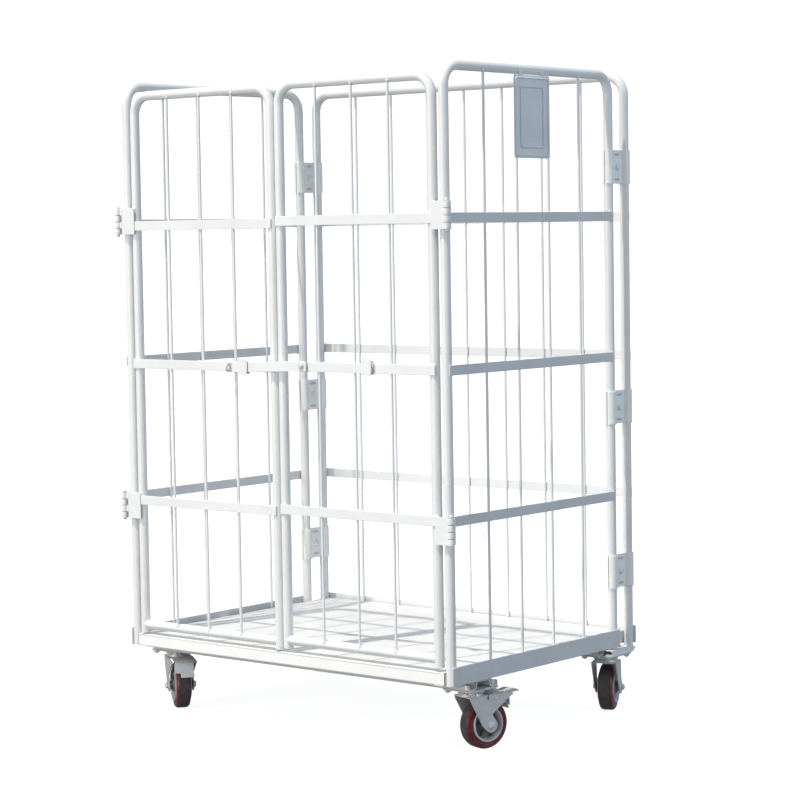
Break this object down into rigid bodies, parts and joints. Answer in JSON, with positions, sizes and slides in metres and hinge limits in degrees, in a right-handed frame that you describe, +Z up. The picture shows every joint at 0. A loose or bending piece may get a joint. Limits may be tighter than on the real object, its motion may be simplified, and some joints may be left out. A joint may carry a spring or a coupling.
{
  "type": "roll cage container",
  "caption": "Wheeled tubular steel cage with wire sides, two hinged front doors with a swing latch, flat deck and swivel castors.",
  "frame": {"origin": "on the floor, under the centre of the cage's footprint", "axes": "+X to the right seen from the doors, -Y out through the doors, +Z up"},
  "size_m": [1.1553, 0.8451, 1.7014],
  "materials": {
    "base_frame": "white powder coat, semi-gloss",
    "deck_sheet": "white powder coat, semi-gloss",
    "cross_channel_front": "white powder coat, semi-gloss",
    "cross_channel_rear": "white powder coat, semi-gloss",
    "rear_foot_left": "white powder coat, semi-gloss",
    "rear_foot_right": "white powder coat, semi-gloss",
    "side_panel_left": "white powder coat, semi-gloss",
    "side_panel_right": "white powder coat, semi-gloss",
    "rear_panel": "white powder coat, semi-gloss",
    "card_holder": "satin grey",
    "clamp_outer_left_top": "white powder coat, semi-gloss",
    "clamp_outer_left_middle": "white powder coat, semi-gloss",
    "clamp_outer_left_bottom": "white powder coat, semi-gloss",
    "clamp_outer_right_top": "white powder coat, semi-gloss",
    "clamp_outer_right_middle": "white powder coat, semi-gloss",
    "clamp_outer_right_bottom": "white powder coat, semi-gloss",
    "clamp_inner_left_top": "white powder coat, semi-gloss",
    "clamp_inner_left_middle": "white powder coat, semi-gloss",
    "clamp_inner_left_bottom": "white powder coat, semi-gloss",
    "clamp_inner_right_top": "white powder coat, semi-gloss",
    "clamp_inner_right_middle": "white powder coat, semi-gloss",
    "clamp_inner_right_bottom": "white powder coat, semi-gloss",
    "hinge_post_leaf_left_upper": "white powder coat, semi-gloss",
    "hinge_post_leaf_left_lower": "white powder coat, semi-gloss",
    "hinge_post_leaf_right_upper": "white powder coat, semi-gloss",
    "hinge_post_leaf_right_lower": "white powder coat, semi-gloss",
    "castor_plate_front_left": "zinc plated",
    "castor_plate_front_right": "zinc plated",
    "castor_plate_rear_left": "zinc plated",
    "castor_plate_rear_right": "zinc plated",
    "left_door": "white powder coat, semi-gloss",
    "hinge_door_leaf_left_upper": "white powder coat, semi-gloss",
    "hinge_door_leaf_left_lower": "white powder coat, semi-gloss",
    "latch_keeper_left": "white powder coat, semi-gloss",
    "right_door": "white powder coat, semi-gloss",
    "hinge_door_leaf_right_upper": "white powder coat, semi-gloss",
    "hinge_door_leaf_right_lower": "white powder coat, semi-gloss",
    "latch_keeper_right": "white powder coat, semi-gloss",
    "latch_pivot_bolt": "zinc plated",
    "latch_bar": "white powder coat, semi-gloss",
    "castor_fork_front_left": "zinc plated",
    "castor_axle_front_left": "zinc plated",
    "castor_tyre_front_left": "wine-red polyurethane sides with a dark grey tread",
    "castor_core_front_left": "light grey moulded",
    "brake_pedal_front_left": "zinc plated",
    "castor_fork_front_right": "zinc plated",
    "castor_axle_front_right": "zinc plated",
    "castor_tyre_front_right": "wine-red polyurethane sides with a dark grey tread",
    "castor_core_front_right": "light grey moulded",
    "brake_pedal_front_right": "zinc plated",
    "castor_fork_rear_left": "zinc plated",
    "castor_axle_rear_left": "zinc plated",
    "castor_tyre_rear_left": "wine-red polyurethane sides with a dark grey tread",
    "castor_core_rear_left": "light grey moulded",
    "castor_fork_rear_right": "zinc plated",
    "castor_axle_rear_right": "zinc plated",
    "castor_tyre_rear_right": "wine-red polyurethane sides with a dark grey tread",
    "castor_core_rear_right": "light grey moulded"
  },
  "bodies": {
    "cage": {"base_frame": "base_frame", "deck_sheet": "deck_sheet", "cross_channel_front": "cross_channel_front", "cross_channel_rear": "cross_channel_rear", "rear_foot_left": "rear_foot_left", "rear_foot_right": "rear_foot_right", "side_panel_left": "side_panel_left", "side_panel_right": "side_panel_right", "rear_panel": "rear_panel", "card_holder": "card_holder", "clamp_outer_left_top": "clamp_outer_left_top", "clamp_outer_left_middle": "clamp_outer_left_middle", "clamp_outer_left_bottom": "clamp_outer_left_bottom", "clamp_outer_right_top": "clamp_outer_right_top", "clamp_outer_right_middle": "clamp_outer_right_middle", "clamp_outer_right_bottom": "clamp_outer_right_bottom", "clamp_inner_left_top": "clamp_inner_left_top", "clamp_inner_left_middle": "clamp_inner_left_middle", "clamp_inner_left_bottom": "clamp_inner_left_bottom", "clamp_inner_right_top": "clamp_inner_right_top", "clamp_inner_right_middle": "clamp_inner_right_middle", "clamp_inner_right_bottom": "clamp_inner_right_bottom", "hinge_post_leaf_left_upper": "hinge_post_leaf_left_upper", "hinge_post_leaf_left_lower": "hinge_post_leaf_left_lower", "hinge_post_leaf_right_upper": "hinge_post_leaf_right_upper", "hinge_post_leaf_right_lower": "hinge_post_leaf_right_lower", "castor_plate_front_left": "castor_plate_front_left", "castor_plate_front_right": "castor_plate_front_right", "castor_plate_rear_left": "castor_plate_rear_left", "castor_plate_rear_right": "castor_plate_rear_right"},
    "left_door": {"left_door": "left_door", "hinge_door_leaf_left_upper": "hinge_door_leaf_left_upper", "hinge_door_leaf_left_lower": "hinge_door_leaf_left_lower", "latch_keeper_left": "latch_keeper_left"},
    "right_door": {"right_door": "right_door", "hinge_door_leaf_right_upper": "hinge_door_leaf_right_upper", "hinge_door_leaf_right_lower": "hinge_door_leaf_right_lower", "latch_keeper_right": "latch_keeper_right", "latch_pivot_bolt": "latch_pivot_bolt"},
    "latch_bar": {"latch_bar": "latch_bar"},
    "castor_front_left": {"castor_fork_front_left": "castor_fork_front_left", "castor_axle_front_left": "castor_axle_front_left"},
    "wheel_front_left": {"castor_tyre_front_left": "castor_tyre_front_left", "castor_core_front_left": "castor_core_front_left"},
    "brake_pedal_front_left": {"brake_pedal_front_left": "brake_pedal_front_left"},
    "castor_front_right": {"castor_fork_front_right": "castor_fork_front_right", "castor_axle_front_right": "castor_axle_front_right"},
    "wheel_front_right": {"castor_tyre_front_right": "castor_tyre_front_right", "castor_core_front_right": "castor_core_front_right"},
    "brake_pedal_front_right": {"brake_pedal_front_right": "brake_pedal_front_right"},
    "castor_rear_left": {"castor_fork_rear_left": "castor_fork_rear_left", "castor_axle_rear_left": "castor_axle_rear_left"},
    "wheel_rear_left": {"castor_tyre_rear_left": "castor_tyre_rear_left", "castor_core_rear_left": "castor_core_rear_left"},
    "castor_rear_right": {"castor_fork_rear_right": "castor_fork_rear_right", "castor_axle_rear_right": "castor_axle_rear_right"},
    "wheel_rear_right": {"castor_tyre_rear_right": "castor_tyre_rear_right", "castor_core_rear_right": "castor_core_rear_right"}
  },
  "joints": [
    {"name": "right_door_hinge", "type": "hinge", "parent": "cage", "child": "right_door", "pos_m": [0.5636, -0.3865, 0.945], "axis": [0, 0, 1], "range_deg": [0, 260]},
    {"name": "left_door_hinge", "type": "hinge", "parent": "cage", "child": "left_door", "pos_m": [-0.5636, -0.3865, 0.945], "axis": [0, 0, -1], "range_deg": [0, 260]},
    {"name": "latch_swing", "type": "hinge", "parent": "right_door", "child": "latch_bar", "pos_m": [0.0928, -0.3895, 0.9535], "axis": [0, 1, 0], "range_deg": [0, 182]},
    {"name": "swivel_front_left", "type": "hinge", "parent": "cage", "child": "castor_front_left", "pos_m": [-0.5095, -0.2506, 0.15], "axis": [0, 0, 1], "continuous": true},
    {"name": "roll_front_left", "type": "hinge", "parent": "castor_front_left", "child": "wheel_front_left", "pos_m": [-0.47868, -0.27283, 0.0625], "axis": [0.585, 0.811, 0], "continuous": true},
    {"name": "brake_front_left", "type": "hinge", "parent": "castor_front_left", "child": "brake_pedal_front_left", "pos_m": [-0.47219, -0.27751, 0.1338], "axis": [0.585, 0.811, 0], "range_deg": [0, 4]},
    {"name": "swivel_front_right", "type": "hinge", "parent": "cage", "child": "castor_front_right", "pos_m": [0.5095, -0.2506, 0.15], "axis": [0, 0, 1], "continuous": true},
    {"name": "roll_front_right", "type": "hinge", "parent": "castor_front_right", "child": "wheel_front_right", "pos_m": [0.52022, -0.21414, 0.0625], "axis": [-0.9594, 0.2821, 0], "continuous": true},
    {"name": "brake_front_right", "type": "hinge", "parent": "castor_front_right", "child": "brake_pedal_front_right", "pos_m": [0.52248, -0.20647, 0.1338], "axis": [-0.9594, 0.2821, 0], "range_deg": [0, 4]},
    {"name": "swivel_rear_left", "type": "hinge", "parent": "cage", "child": "castor_rear_left", "pos_m": [-0.5095, 0.3351, 0.15], "axis": [0, 0, 1], "continuous": true},
    {"name": "roll_rear_left", "type": "hinge", "parent": "castor_rear_left", "child": "wheel_rear_left", "pos_m": [-0.53305, 0.36492, 0.0625], "axis": [-0.7848, -0.6198, 0], "continuous": true},
    {"name": "swivel_rear_right", "type": "hinge", "parent": "cage", "child": "castor_rear_right", "pos_m": [0.5095, 0.3351, 0.15], "axis": [0, 0, 1], "continuous": true},
    {"name": "roll_rear_right", "type": "hinge", "parent": "castor_rear_right", "child": "wheel_rear_right", "pos_m": [0.49434, 0.36994, 0.0625], "axis": [-0.917, -0.399, 0], "continuous": true}
  ],
  "couplings": [
    {"joint": "left_door_hinge", "follows": "right_door_hinge", "ratio": 1}
  ]
}
